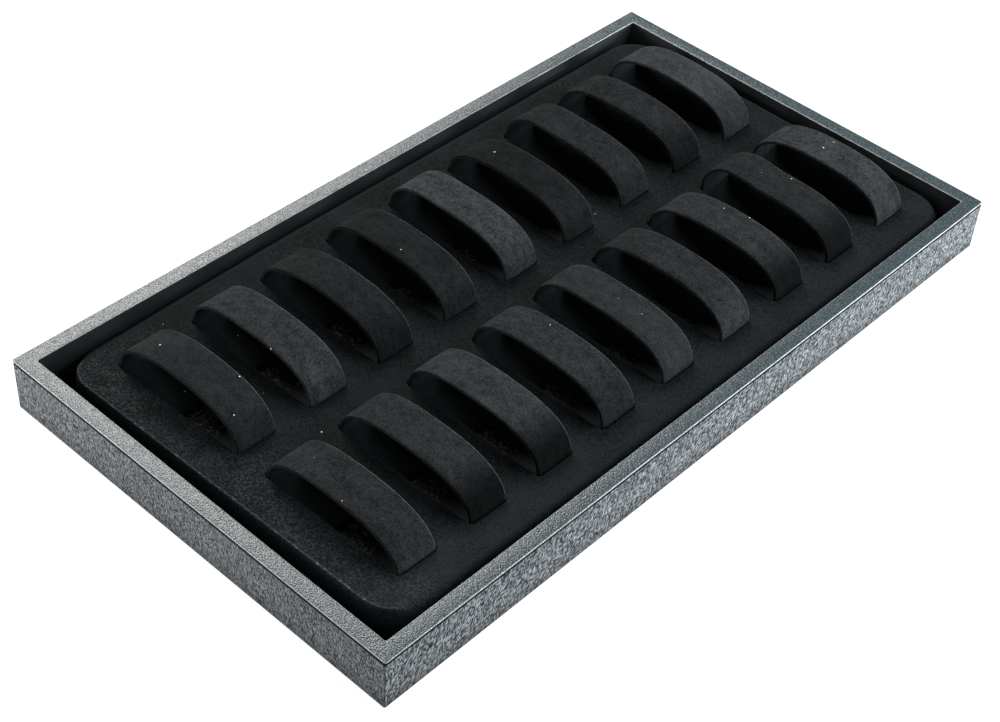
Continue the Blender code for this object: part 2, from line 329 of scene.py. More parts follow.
class MeshBuilder:
    """Collects points and faces, with points in the same place shared."""

    def __init__(self):
        self.points = []
        self.faces = []
        self.seen = {}
        self.values = {}

    def point(self, place, **values):
        """Index of the point at a place. The first call for a place sets its values."""
        key = tuple(round(coordinate / SAME_PLACE) for coordinate in place)
        if key not in self.seen:
            self.seen[key] = len(self.points)
            self.points.append(tuple(place))
            for name, value in values.items():
                self.values.setdefault(name, {})[self.seen[key]] = value
        return self.seen[key]

    def ring(self, places, **values):
        """Indices of the points at the places."""
        return [self.point(place, **values) for place in places]

    def band(self, lower, upper):
        """Quads between two closed rings of the same count."""
        for index in range(len(lower)):
            after = (index + 1) % len(lower)
            corners = (lower[index], lower[after], upper[after], upper[index])
            if len(set(corners)) > 2:
                self.faces.append(tuple(dict.fromkeys(corners)))

    def bands(self, rings):
        """Quads between each closed ring and the next."""
        for lower, upper in zip(rings, rings[1:]):
            self.band(lower, upper)

    def caps(self, rings):
        """One face over the first ring and one over the last."""
        self.faces.append(tuple(reversed(rings[0])))
        self.faces.append(tuple(rings[-1]))

    def add_attributes(self, mesh):
        """Give the mesh the values that were kept for its points."""
        for name, values in self.values.items():
            is_vector = isinstance(next(iter(values.values())), tuple)
            kind = "FLOAT_VECTOR" if is_vector else "FLOAT"
            attribute = mesh.attributes.new(name, kind, "POINT")
            for index, value in values.items():
                setattr(attribute.data[index], "vector" if is_vector else "value", value)

    def build(self, name, sharp_angle):
        """The object made of the faces, smooth except over edges sharper than the angle."""
        mesh = bpy.data.meshes.new(name)
        mesh.from_pydata(self.points, [], self.faces)
        self.add_attributes(mesh)
        shaper = bmesh.new()
        shaper.from_mesh(mesh)
        bmesh.ops.recalc_face_normals(shaper, faces=shaper.faces)
        shaper.to_mesh(mesh)
        shaper.free()
        mesh.shade_smooth()
        mesh.set_sharp_from_angle(angle=sharp_angle)
        return new_object(name, mesh)


class Nodes:
    """A material's node tree, with short calls for the nodes used here."""

    def __init__(self, name):
        self.material = bpy.data.materials.new(name)
        self.material.use_nodes = True
        self.tree = self.material.node_tree
        self.shader = self.tree.nodes["Principled BSDF"]
        self.output = self.tree.nodes["Material Output"]

    def put(self, socket, value):
        """Link a socket to another one, or set it to a constant."""
        if isinstance(value, bpy.types.NodeSocket):
            self.tree.links.new(value, socket)
        elif value is not None:
            socket.default_value = value

    def add(self, kind, inputs=(), **properties):
        """A new node with its properties, and its inputs by name or by number."""
        node = self.tree.nodes.new(kind)
        for name, value in properties.items():
            setattr(node, name, value)
        for name, value in dict(inputs).items():
            self.put(node.inputs[name], value)
        return node

    def set(self, **values):
        """Set or link inputs of the shader, with _ for each space in a name."""
        for name, value in values.items():
            self.put(self.shader.inputs[name.replace("_", " ")], value)

    def math(self, operation, first, *others):
        """One operation on a number, or carried on over several."""
        for other in others or (None,):
            first = self.add("ShaderNodeMath", {0: first, 1: other}, operation=operation).outputs[0]
        return first

    def product(self, *numbers):
        """All the numbers multiplied."""
        return self.math("MULTIPLY", *numbers)

    def total(self, *numbers):
        """All the numbers added."""
        return self.math("ADD", *numbers)

    def greatest(self, *numbers):
        """The greatest of the numbers."""
        return self.math("MAXIMUM", *numbers)

    def rest(self, share):
        """What a share leaves of 1."""
        return self.math("SUBTRACT", 1.0, share)

    def ramp(self, value, low, high, low_result=0.0, high_result=1.0):
        """Smooth step from one result to another as the value goes from low to high."""
        inputs = {"Value": value, "From Min": low, "From Max": high,
                  "To Min": low_result, "To Max": high_result}
        node = self.add("ShaderNodeMapRange", inputs, interpolation_type="SMOOTHSTEP")
        return node.outputs["Result"]

    def mix(self, share, first, second):
        """Blend of two colours."""
        return self.add("ShaderNodeMix", {0: share, 6: first, 7: second}, data_type="RGBA").outputs[2]

    def layers(self, colour, *coats):
        """Colours laid over a first one in order, each by its own share."""
        for share, coat in coats:
            colour = self.mix(share, colour, coat)
        return colour

    def blend(self, share, first, second):
        """Blend of two numbers."""
        return self.add("ShaderNodeMix", {0: share, 2: first, 3: second}, data_type="FLOAT").outputs[0]

    def parts(self, vector):
        """The numbers X, Y and Z of a vector."""
        return self.add("ShaderNodeSeparateXYZ", {"Vector": vector}).outputs

    def facing(self):
        """The numbers X, Y and Z of the way that the surface faces."""
        return self.parts(self.add("ShaderNodeNewGeometry").outputs["Normal"])

    def millimetres(self):
        """Places on the object in millimetres, as a vector."""
        coordinates = self.add("ShaderNodeTexCoord")
        return self.stretch(coordinates.outputs["Object"], (1 / MM, 1 / MM, 1 / MM))

    def stretch(self, vector, scale):
        """A vector with each part multiplied by its own number."""
        return self.add("ShaderNodeVectorMath", {0: vector, 1: scale}, operation="MULTIPLY").outputs[0]

    def noise(self, vector, size, detail=2.0, roughness=0.5, distortion=0.0):
        """Noise whose blotches are about the given size, from 0 to 1."""
        inputs = {"Vector": vector, "Scale": 1 / size, "Detail": detail, "Roughness": roughness,
                  "Distortion": distortion}
        return self.add("ShaderNodeTexNoise", inputs).outputs["Fac"]

    def bump(self, height, distance, strength=1.0):
        """Normal of a surface with fine relief of the given depth."""
        inputs = {"Height": height, "Distance": distance, "Strength": strength}
        return self.add("ShaderNodeBump", inputs).outputs["Normal"]

    def attribute(self, name, output="Fac"):
        """A value that the mesh carries at its points."""
        return self.add("ShaderNodeAttribute", attribute_name=name).outputs[output]


def outside_share(nodes, parts):
    """1 on the outer faces of the tray's walls and 0 from a little further in."""
    beyond = []
    for axis, size in (("X", TRAY_LENGTH), ("Y", TRAY_WIDTH)):
        limit = size / 2 / MM - OUTSIDE_DEPTH
        beyond.append(nodes.math("SUBTRACT", nodes.math("ABSOLUTE", parts[axis]), limit))
    return nodes.ramp(nodes.greatest(*beyond), 0.0, 0.2)


def rim_shares(nodes, height, up, outside):
    """How much a place is rim top, rim edge, raised band or groove below the band."""
    top = TRAY_HEIGHT / MM
    band_foot = top - RIM_BAND_HEIGHT / MM
    groove_foot = band_foot - RIM_GROOVE_HEIGHT / MM
    near_top = nodes.ramp(height, top - 1.0, top - 0.5)
    on_rim = nodes.product(nodes.ramp(up, 0.75, 0.97), near_top)
    edge = nodes.product(nodes.ramp(up, 0.15, 0.4), nodes.ramp(up, 0.98, 0.85), near_top)
    above_band_foot = nodes.ramp(height, band_foot, band_foot + 0.15)
    band = nodes.product(above_band_foot, outside, nodes.ramp(up, 0.6, 0.3))
    above_groove_foot = nodes.ramp(height, groove_foot - 0.35, groove_foot - 0.15)
    below_band = nodes.ramp(height, band_foot + 0.1, band_foot)
    # The groove is coloured with painted shade
    groove = nodes.product(above_groove_foot, below_band, outside)
    return on_rim, edge, band, groove


def creases(nodes, place, width, height, slant):
    """Thin wandering creases, drawn out upwards and leaning: 0 on a crease and more away from it."""
    parts = nodes.parts(place)
    lean = nodes.product(parts["Z"], -slant)
    across_x = nodes.product(nodes.total(parts["X"], lean), 1 / width)
    across_y = nodes.product(nodes.total(parts["Y"], lean), 1 / width)
    upward = nodes.product(parts["Z"], 1 / height)
    moved = nodes.add("ShaderNodeCombineXYZ", {"X": across_x, "Y": across_y, "Z": upward}).outputs[0]
    return nodes.math("ABSOLUTE", nodes.math("SUBTRACT", nodes.noise(moved, 1.0, 0.0), 0.5))


def wall_grain(nodes, place, facing):
    """The walls' grain: its height, and how much a place is on a pad or on a glint pad, with its painted
    highlight, between creases.
    """
    long_wall = creases(nodes, place, *LONG_WALL_CREASES)
    short_wall = creases(nodes, place, *SHORT_WALL_CREASES)
    on_short = nodes.ramp(nodes.math("ABSOLUTE", facing["X"]), 0.5, 0.8)
    height = nodes.blend(on_short, long_wall, short_wall)
    pads = nodes.ramp(height, PAD_START, nodes.blend(on_short, *PAD_ENDS))
    glint_pads = nodes.ramp(height, GLINT_PAD_START, nodes.blend(on_short, *GLINT_PAD_ENDS))
    return height, pads, glint_pads


def wall_colour(nodes, place, height, glint_pads):
    """Colour of the walls' outer faces, with painted highlights on the glint pads and painted shade towards
    the foot.
    """
    drift = nodes.noise(place, WALL_DRIFT, 3.0, 0.6)
    wall = nodes.mix(nodes.ramp(drift, 0.3, 0.7), WALL_DARK, WALL_LIGHT)
    # Painted shade, growing towards the foot
    foot = nodes.ramp(height, 0.0, FOOT_SHADE_HEIGHT, FOOT_SHADE, 0.0)
    return nodes.layers(wall, (glint_pads, WALL_GLINT), (foot, PAINTED_SHADE))


def inside_colour(nodes, place, height, up):
    """Colour of the tray's inside: painted shade down its walls, lighter near the top, and painted glints on
    its floor's grain.
    """
    colour = nodes.mix(nodes.ramp(height, 3.0, TRAY_HEIGHT / MM - 1.0), INNER_SHADED, INNER_LIT)
    on_floor = nodes.product(nodes.ramp(height, 3.2, 2.8), nodes.ramp(up, 0.8, 0.95))
    floor_glints = nodes.ramp(nodes.noise(place, FLOOR_PEBBLE, 1.0), 0.54, 0.66)
    return nodes.mix(nodes.product(on_floor, floor_glints), colour, FLOOR_GLINT)


def grained_plastic(name, gloss):
    """Black moulded plastic: wrinkled leather grain on the walls and a fine grain on the rim, with painted
    sparkle, highlights and shade.
    """
    nodes = Nodes(name)
    place = nodes.millimetres()
    parts = nodes.parts(place)
    facing = nodes.facing()
    height = parts["Z"]
    outside = outside_share(nodes, parts)
    on_rim, edge, band, groove = rim_shares(nodes, height, facing["Z"], outside)
    wall_height, pads, glint_pads = wall_grain(nodes, place, facing)
    plain = nodes.greatest(band, on_rim, nodes.rest(outside))
    # Painted shade in the walls' creases
    shaded_creases = nodes.product(nodes.rest(pads), nodes.rest(plain))
    pebble = nodes.noise(place, RIM_PEBBLE, 1.0)
    # Painted sparkle on the rim top
    rim_sparkle = nodes.product(nodes.ramp(pebble, 0.45, 0.65), on_rim)
    # Painted highlight on the rim's edge, in patches
    painted_highlight = nodes.product(edge, nodes.ramp(nodes.noise(place, RIM_HIGHLIGHT_PATCH), 0.3, 0.6, 0.55, 1.0))

    wall = wall_colour(nodes, place, height, glint_pads)
    inside = inside_colour(nodes, place, height, facing["Z"])
    colour = nodes.layers(wall, (plain, inside), (shaded_creases, PAINTED_SHADE), (on_rim, RIM_DARK),
                          (rim_sparkle, RIM_SPARKLE), (band, BAND_COLOUR), (painted_highlight, RIM_EDGE_HIGHLIGHT),
                          (groove, GROOVE_SHADE))
    roughness = nodes.blend(shaded_creases, nodes.blend(on_rim, WALL_ROUGHNESS, RIM_ROUGHNESS), CREASE_ROUGHNESS)
    roughness = nodes.blend(edge, nodes.blend(groove, roughness, GROOVE_ROUGHNESS), EDGE_ROUGHNESS)
    wall_relief = nodes.product(wall_height, nodes.product(nodes.rest(plain), CREASE_RELIEF))
    relief = nodes.blend(on_rim, wall_relief, pebble)
    nodes.set(Base_Color=colour, Roughness=roughness, Normal=nodes.bump(relief, PLASTIC_RELIEF))
    nodes.set(Specular_IOR_Level=gloss)
    return nodes.material


def lint(nodes, flat_place, spacing, share):
    """Sparse pale specks: 1 on a speck. About the given share of the cells has one."""
    inputs = {"Vector": flat_place, "Scale": 1 / spacing}
    node = nodes.add("ShaderNodeTexVoronoi", inputs, voronoi_dimensions="2D")
    chosen = nodes.add("ShaderNodeSeparateColor", {"Color": node.outputs["Color"]}).outputs
    radius = nodes.product(chosen["Green"], LINT_SPREAD / spacing)
    radius = nodes.total(radius, LINT_RADIUS / spacing)
    inside = nodes.math("LESS_THAN", node.outputs["Distance"], radius)
    return nodes.product(inside, nodes.math("LESS_THAN", chosen["Red"], share))


def flocked_sheet():
    """Black flock: short dense fibres on a drawn sheet with a leathery grain at one end; glints, highlights
    and light on it are painted.
    """
    nodes = Nodes("flocked_black_sheet")
    place = nodes.millimetres()
    parts = nodes.parts(place)
    up = nodes.facing()["Z"]
    low_end = nodes.ramp(parts["X"], *LOW_END_REACH)
    fibres = nodes.noise(place, FLOCK_FIBRE, 1.0)
    tufts = nodes.noise(place, FLOCK_TUFT)
    broad = nodes.noise(place, FLOCK_BLOTCH, 3.0, 0.55)
    # Painted light on the strip along the near side of the deck
    lit_strip = nodes.product(nodes.ramp(parts["Y"], *LIT_STRIP_REACH), nodes.ramp(up, 0.80, 0.98))
    level = nodes.total(nodes.product(fibres, 0.70), nodes.product(tufts, 0.20),
                        nodes.product(broad, 0.20), nodes.product(lit_strip, 0.08))
    drawn_out = nodes.stretch(place, (1.0, 0.5, 1.0))
    leather = nodes.ramp(nodes.noise(drawn_out, LEATHER_GRAIN, 0.0), 0.40, 0.62)
    # Painted glints on the leathery grain of the low end
    glint = nodes.product(nodes.ramp(nodes.noise(place, LEATHER_PATCH), 0.20, 0.60), leather)
    painted_highlight = nodes.product(glint, low_end, 0.75)
    # Painted light on the steep skirt at the low end
    skirt_tufts = nodes.ramp(tufts, 0.35, 0.60, 0.3, 1.0)
    skirt = nodes.product(nodes.ramp(up, 0.6, 0.2), skirt_tufts, low_end)
    # Painted glints in dashes along the crisp edge at the low end
    dashes = nodes.ramp(nodes.noise(place, FOLD_DASH, 3.0, 0.65), 0.54, 0.68, 0.20, 1.0)
    fold = nodes.product(nodes.attribute("fold"), dashes)
    # Painted highlight on the pocket lips and the shoulders' crests
    crest = nodes.product(nodes.attribute("crest"), 0.35)
    specks = nodes.product(lint(nodes, place, *FLOCK_LINT), nodes.ramp(up, 0.9, 0.98))

    flock = nodes.mix(nodes.ramp(level, 0.38, 0.74), FLOCK_DARK, FLOCK_LIGHT)
    colour = nodes.layers(flock, (painted_highlight, FLOCK_END_GLINT), (skirt, FLOCK_SKIRT_LIGHT), (fold, FLOCK_FOLD_GLINT),
                          (crest, FLOCK_LIGHT), (specks, LINT_COLOUR))
    roughness = nodes.blend(nodes.product(glint, low_end), FLOCK_ROUGHNESS, LEATHER_ROUGHNESS)
    relief = nodes.total(fibres, nodes.product(tufts, 0.8), nodes.product(leather, low_end, 1.3))
    normal = nodes.bump(relief, FLOCK_RELIEF, CLOTH_BUMP)
    nodes.set(Base_Color=colour, Roughness=roughness, Normal=normal)
    nodes.set(Specular_IOR_Level=FLOCK_GLOSS, Sheen_Weight=SHEEN_WEIGHT)
    nodes.set(Sheen_Roughness=FLOCK_SHEEN_ROUGHNESS, Sheen_Tint=FLOCK_SHEEN_TINT)
    return nodes.material


def suede_cloth():
    """Black suede-like cloth: soft blotches where the pile turns, painted highlights along the far edges and
    a raw seam.
    """
    nodes = Nodes("black_suede_cloth")
    place = nodes.attribute("band", "Vector")
    parts = nodes.parts(place)
    fibres = nodes.noise(place, SUEDE_FIBRE, 1.0)
    blotches = nodes.noise(place, SUEDE_BLOTCH, 3.0, 0.55, 0.4)
    brushed = nodes.noise(nodes.stretch(place, (0.35, 1.0, 1.0)), SUEDE_BRUSHED, 3.0, 0.6)
    level = nodes.total(nodes.product(blotches, 0.30), nodes.product(brushed, 0.25),
                        nodes.product(fibres, 0.50))
    pile = nodes.mix(nodes.ramp(level, 0.30, 0.78), SUEDE_DARK, SUEDE_LIGHT)
    toning = {0: pile, "Scale": nodes.attribute("tone")}
    toned = nodes.add("ShaderNodeVectorMath", toning, operation="SCALE").outputs[0]
    # Painted highlights along the far edges, in patches
    edge_highlight_patches = nodes.ramp(nodes.noise(place, EDGE_HIGHLIGHT_PATCH), 0.25, 0.6, 0.3, 1.0)
    edge = nodes.product(nodes.attribute("edge"), edge_highlight_patches, 0.50)
    raw_seam = nodes.ramp(nodes.noise(place, SEAM_PATCH), 0.3, 0.6)
    seam = nodes.product(nodes.attribute("seam"), raw_seam, 0.5)
    shifted = nodes.total(parts["X"], nodes.product(parts["Z"], 3.7))
    flat_place = nodes.add("ShaderNodeCombineXYZ", {"X": shifted, "Y": parts["Y"]}).outputs[0]

    colour = nodes.layers(toned, (nodes.attribute("inner"), SUEDE_INNER), (edge, SUEDE_EDGE_HIGHLIGHT),
                          (seam, SUEDE_SEAM), (lint(nodes, flat_place, *SUEDE_LINT), LINT_COLOUR))
    relief = nodes.total(fibres, nodes.product(blotches, 0.8))
    normal = nodes.bump(relief, SUEDE_RELIEF, CLOTH_BUMP)
    nodes.set(Base_Color=colour, Roughness=SUEDE_ROUGHNESS, Normal=normal)
    nodes.set(Specular_IOR_Level=SUEDE_GLOSS, Sheen_Weight=SHEEN_WEIGHT)
    nodes.set(Sheen_Roughness=SUEDE_SHEEN_ROUGHNESS, Sheen_Tint=SUEDE_SHEEN_TINT)
    return nodes.material


def rounded_rectangle(length, width, radius, corner_steps):
    """Points of a rectangle centred on the origin with round corners, counter-clockwise."""
    points = []
    for quarter, (side_x, side_y) in enumerate(((1, 1), (-1, 1), (-1, -1), (1, -1))):
        centre_x = side_x * (length / 2 - radius)
        centre_y = side_y * (width / 2 - radius)
        for step in range(corner_steps + 1):
            angle = (quarter + step / corner_steps) * math.pi / 2
            points.append((centre_x + radius * math.cos(angle), centre_y + radius * math.sin(angle)))
    return points


def tray_profile():
    """Inset from the tray's outline and height, from the foot up over the rim and down inside."""
    band_foot = TRAY_HEIGHT - RIM_BAND_HEIGHT
    groove_foot = band_foot - RIM_GROOVE_HEIGHT
    groove_inset = RIM_BAND_PROUD + RIM_GROOVE_DEPTH
    softness = RIM_EDGE_RADIUS / 3
    points = [(RIM_BAND_PROUD + TRAY_FOOT_RADIUS, 0.0), (RIM_BAND_PROUD, TRAY_FOOT_RADIUS)]
    points += [(RIM_BAND_PROUD, groove_foot - softness), (RIM_BAND_PROUD + softness, groove_foot)]
    points += [(groove_inset, groove_foot + softness), (groove_inset, band_foot)]
    points += [(softness, band_foot), (0.0, band_foot + softness)]
    rounding = []
    for step in range(RIM_EDGE_STEPS + 1):
        angle = math.pi / 2 * step / RIM_EDGE_STEPS
        height = TRAY_HEIGHT - RIM_EDGE_RADIUS * (1 - math.sin(angle))
        rounding.append((RIM_EDGE_RADIUS * (1 - math.cos(angle)), height))
    points += rounding
    points += [(RIM_WIDTH - inset, height) for inset, height in reversed(rounding)]
    points += [(RIM_WIDTH, TRAY_FLOOR + TRAY_FOOT_RADIUS), (RIM_WIDTH + TRAY_FOOT_RADIUS, TRAY_FLOOR)]
    return points


def rim_channels():
    """Boxes that hollow the rim from below, as one object, with a web left between them."""
    builder = bmesh.new()
    outer_wall = RIM_BAND_PROUD + TRAY_WALL
    channel_width = RIM_WIDTH - TRAY_WALL - outer_wall
    middle_inset = outer_wall + channel_width / 2
    top = TRAY_HEIGHT - RIM_TOP_THICKNESS
    height = top + CUT_OVERRUN
    long_run = TRAY_LENGTH - 2 * outer_wall
    short_run = TRAY_WIDTH - 2 * (RIM_WIDTH - TRAY_WALL) - 2 * WEB_THICKNESS
    for run, breadth, turned in ((long_run, TRAY_WIDTH, False), (short_run, TRAY_LENGTH, True)):
        bays = round(run / WEB_PITCH)
        bay_length = (run - (bays - 1) * WEB_THICKNESS) / bays
        for bay in range(bays):
            along = -run / 2 + bay_length / 2 + bay * (bay_length + WEB_THICKNESS)
            for side in (-1, 1):
                place = [along, side * (breadth / 2 - middle_inset)]
                size = [bay_length, channel_width]
                if turned:
                    place.reverse()
                    size.reverse()
                middle = Matrix.Translation((*place, top - height / 2))
                shape = middle @ Matrix.Diagonal((*size, height, 1.0))
                bmesh.ops.create_cube(builder, size=1.0, matrix=shape)
    mesh = bpy.data.meshes.new("rim_channels")
    builder.to_mesh(mesh)
    builder.free()
    return new_object("rim_channels", mesh)


def make_tray(wall_material, rim_material):
    """The tray in one piece, hollow below its rim, with the rim's finer grain on its own faces."""
    builder = MeshBuilder()
    rings = []
    for inset, height in tray_profile():
        radius = max(TRAY_CORNER_RADIUS - inset, TRAY_CORNER_RADIUS / 3)
        if inset > RIM_WIDTH / 2:
            radius = TRAY_CORNER_RADIUS
        length = TRAY_LENGTH - 2 * inset
        width = TRAY_WIDTH - 2 * inset
        outline = rounded_rectangle(length, width, radius, TRAY_CORNER_STEPS)
        rings.append(builder.ring([(x, y, height) for x, y in outline]))
    builder.bands(rings)
    builder.caps(rings)
    tray = builder.build("tray_moulding", TRAY_SHARP_ANGLE)
    tray.data.materials.append(wall_material)
    tray.data.materials.append(rim_material)
    cutter = rim_channels()
    cut = tray.modifiers.new("rim_channels", "BOOLEAN")
    cut.operation = "DIFFERENCE"
    cut.solver = "EXACT"
    cut.object = cutter
    apply_modifiers(tray)
    tray.data.set_sharp_from_angle(angle=TRAY_SHARP_ANGLE)
    for face in tray.data.polygons:
        face.material_index = 1 if face.center.z > TRAY_HEIGHT - RIM_BAND_HEIGHT else 0
    bpy.data.objects.remove(cutter, do_unlink=True)
    return tray


def apply_modifiers(thing):
    """Keep the shape that the modifiers give and drop them."""
    shown = thing.evaluated_get(bpy.context.evaluated_depsgraph_get())
    mesh = bpy.data.meshes.new_from_object(shown)
    thing.modifiers.clear()
    thing.data = mesh


def shoulder_profile(inset, steps, shoulder):
    """Offsets from the liner's foot outline and heights, from the foot up to the deck."""
    radius = max(shoulder - inset, LEAST_RADIUS)
    wall = inset / math.cos(LINER_DRAFT)
    centre_height = LINER_TOP - inset - radius
    shoulder_start = centre_height + radius * math.sin(LINER_DRAFT)
    wall_height = shoulder_start - LINER_SEAT
    start_offset = wall + wall_height * math.tan(LINER_DRAFT)
    centre_offset = start_offset + radius * math.cos(LINER_DRAFT)
    points = []
    for ring in range(WALL_RINGS):
        share = ring / WALL_RINGS
        points.append((wall + (start_offset - wall) * share, LINER_SEAT + wall_height * share))
    for step in range(steps + 1):
        angle = LINER_DRAFT + (math.pi / 2 - LINER_DRAFT) * step / steps
        points.append((centre_offset - radius * math.cos(angle), centre_height + radius * math.sin(angle)))
    return points


def shoulder_pairs(inset, steps):
    """The profiles of the round and of the crisp shoulder, place by place, from the foot up."""
    round_profile = shoulder_profile(inset, steps, LINER_SHOULDER_RADIUS)
    return list(zip(round_profile, shoulder_profile(inset, steps, LINER_FOLD_RADIUS)))


def framed_outline(low, high, radius, steps_x, steps_y, arc_steps):
    """Points round a box from the middle of its first corner: straight runs between half corners.

    With no radius the points are spread evenly, so that boxes side by side share them.
    """
    points = []
    corners = ((low[0], low[1]), (high[0], low[1]), (high[0], high[1]), (low[0], high[1]))
    for side, corner in enumerate(corners):
        next_corner = corners[(side + 1) % 4]
        steps = steps_x if side % 2 == 0 else steps_y
        start_centre = inner_corner(corner, low, high, radius)
        end_centre = inner_corner(next_corner, low, high, radius)
        angle = (side + 3) * math.pi / 2
        points += half_corner(start_centre, radius, angle - math.pi / 4, arc_steps)
        start = on_circle(start_centre, radius, angle)
        end = on_circle(end_centre, radius, angle)
        points += run_between(start, end, steps - 2 * arc_steps)
        points += half_corner(end_centre, radius, angle, arc_steps)
    return points


def run_between(start, end, steps):
    """Points on a straight run from its start, without its end."""
    return [part_way(start, end, step / steps) for step in range(steps)]


def joined_runs(stops, steps):
    """Points on the runs from each stop to the next, without the last stop."""
    return [point for start, end in zip(stops, stops[1:]) for point in run_between(start, end, steps)]


def half_corner(centre, radius, angle, steps):
    """Points on an eighth of a circle from an angle on, without its end."""
    return [on_circle(centre, radius, angle + math.pi / 4 * step / steps) for step in range(steps)]


def inner_corner(corner, low, high, radius):
    """Centre of the round at a box's corner."""
    return tuple(a + radius if c == a else b - radius for c, a, b in zip(corner, low, high))


def on_circle(centre, radius, angle):
    """The point of a circle at an angle."""
    return centre[0] + radius * math.cos(angle), centre[1] + radius * math.sin(angle)


def settle(x, y, z):
    """A point of the liner with the slight waves that a drawn sheet has, flat at its foot."""
    share = smooth_step(LINER_SEAT, LINER_TOP, z)
    wave = noise.noise(Vector((x, y, 0.0)) / LINER_WAVE_LENGTH) * LINER_WAVE
    ripple = noise.noise(Vector((x, y, LINER_TOP)) / LINER_RIPPLE_LENGTH) * LINER_RIPPLE
    rise = smooth_step(LINER_RISE_START, LINER_LOW.x, x) * (LINER_RISE - LINER_RISE_SLOPE * y)
    return x, y, z + (wave + ripple - LINER_WAVE / 2 + rise) * share


def liner_ring(builder, outline, height, crest=0.0):
    """A ring of the liner, level but for the sheet's slight waves."""
    return builder.ring([settle(x, y, height) for x, y in outline], crest=crest, fold=0.0)


def shoulder_ring(builder, round_ring, crisp_ring, crest, fold):
    """A ring of the shoulder: round along the sides and crisp along the low end of X."""
    fold_start = LINER_LOW.x + LINER_CORNER_RADIUS
    fold_end = LINER_LOW.x + LINER_SHOULDER_RADIUS
    ring = []
    for round_place, crisp_place in zip(round_ring, crisp_ring):
        share = smooth_step(fold_start, fold_end, crisp_place[0])
        spot = settle(*part_way(round_place, crisp_place, share))
        ring.append(builder.point(spot, crest=crest * (1 - share), fold=fold * share))
    return ring


def blend_outlines(first, second, share):
    """An outline between two of the same count."""
    return [part_way(a, b, share) for a, b in zip(first, second)]


def pocket_outline(centre, growth):
    """A pocket's outline at its mouth, grown by a distance."""
    half = Vector((POCKET_WIDTH / 2 + growth, POCKET_LENGTH / 2 + growth))
    middle = Vector((centre.x, centre.y))
    radius = POCKET_CORNER_RADIUS + growth
    steps = (CELL_STEPS_X, CELL_STEPS_Y, POCKET_ARC_STEPS)
    return framed_outline(middle - half, middle + half, radius, *steps)


def liner_cell(builder, centre, low, high):
    """One pocket and the deck round it, with the sheet's underside, out to the cell's box."""
    edge = framed_outline(low, high, 0, CELL_STEPS_X, CELL_STEPS_Y, 0)
    underside = LINER_TOP - LINER_SHEET
    outside = pocket_outline(centre, LINER_SHEET)
    rings = [liner_ring(builder, edge, underside), liner_ring(builder, outside, underside)]
    rings.append(liner_ring(builder, pocket_outline(centre, LINER_SHEET - POCKET_FLARE), LINER_SEAT))
    lip_foot = LINER_TOP - POCKET_LIP_RADIUS
    for ring in range(WALL_RINGS):
        share = ring / WALL_RINGS
        height = LINER_SEAT + (lip_foot - LINER_SEAT) * share
        rings.append(liner_ring(builder, pocket_outline(centre, -POCKET_FLARE * (1 - share)), height))
    for step in range(LIP_STEPS + 1):
        angle = math.pi / 2 * step / LIP_STEPS
        growth = POCKET_LIP_RADIUS * (1 - math.cos(angle))
        height = lip_foot + POCKET_LIP_RADIUS * math.sin(angle)
        rings.append(liner_ring(builder, pocket_outline(centre, growth), height, crest=1.0))
    lip = pocket_outline(centre, POCKET_LIP_RADIUS)
    for ring in range(1, DECK_RINGS + 1):
        rings.append(liner_ring(builder, blend_outlines(lip, edge, ring / DECK_RINGS), LINER_TOP))
    builder.bands(rings)


def liner_border(builder, low, high):
    """The strip round all the cells, the shoulders, the skirt and the underside of these."""
    steps_x = PLACES * CELL_STEPS_X
    steps_y = ROWS * CELL_STEPS_Y
    inner_edge = border_points(low, high)

    def outline(offset, radius):
        half = Vector((LINER_LENGTH / 2 - offset, LINER_WIDTH / 2 - offset))
        middle = Vector((LINER_CENTRE.x, LINER_CENTRE.y))
        return framed_outline(middle - half, middle + half, radius, steps_x, steps_y, LINER_ARC_STEPS)

    def add_shoulder(pair, crest, fold):
        outlines = []
        for offset, height in pair:
            places = outline(offset, LINER_CORNER_RADIUS + deck_offset - offset)
            outlines.append([(x, y, height) for x, y in places])
        rings.append(shoulder_ring(builder, *outlines, crest, fold))

    shoulder = shoulder_pairs(0.0, SHOULDER_STEPS)
    deck_offset = shoulder[-1][0][0]
    middle_ring = blend_outlines(inner_edge, outline(deck_offset, LINER_CORNER_RADIUS), 0.5)
    rings = [liner_ring(builder, ring, LINER_TOP) for ring in (inner_edge, middle_ring)]
    for index, pair in enumerate(reversed(shoulder)):
        crest = 1.0 if 1 <= index <= SHOULDER_STEPS // 2 else 0.0
        fold = 1.0 if index in FOLD_RINGS else 0.0
        add_shoulder(pair, crest, fold)
    for pair in shoulder_pairs(LINER_SHEET, SHOULDER_STEPS // 2):
        add_shoulder(pair, 0.0, 0.0)
    rings.append(liner_ring(builder, inner_edge, LINER_TOP - LINER_SHEET))
    builder.bands(rings)


def cell_lines():
    """Where the cells meet: lines across X, then lines across Y."""
    xs = [collar_centre(1, place).x for place in range(1, PLACES + 1)]
    ys = [collar_centre(row, 1).y for row in range(1, ROWS + 1)]
    across_x = [xs[0] - END_STRIP] + [(a + b) / 2 for a, b in zip(xs, xs[1:])] + [xs[-1] + END_STRIP]
    across_y = [ys[0] - SIDE_STRIP] + [(a + b) / 2 for a, b in zip(ys, ys[1:])] + [ys[-1] + SIDE_STRIP]
    return across_x, across_y


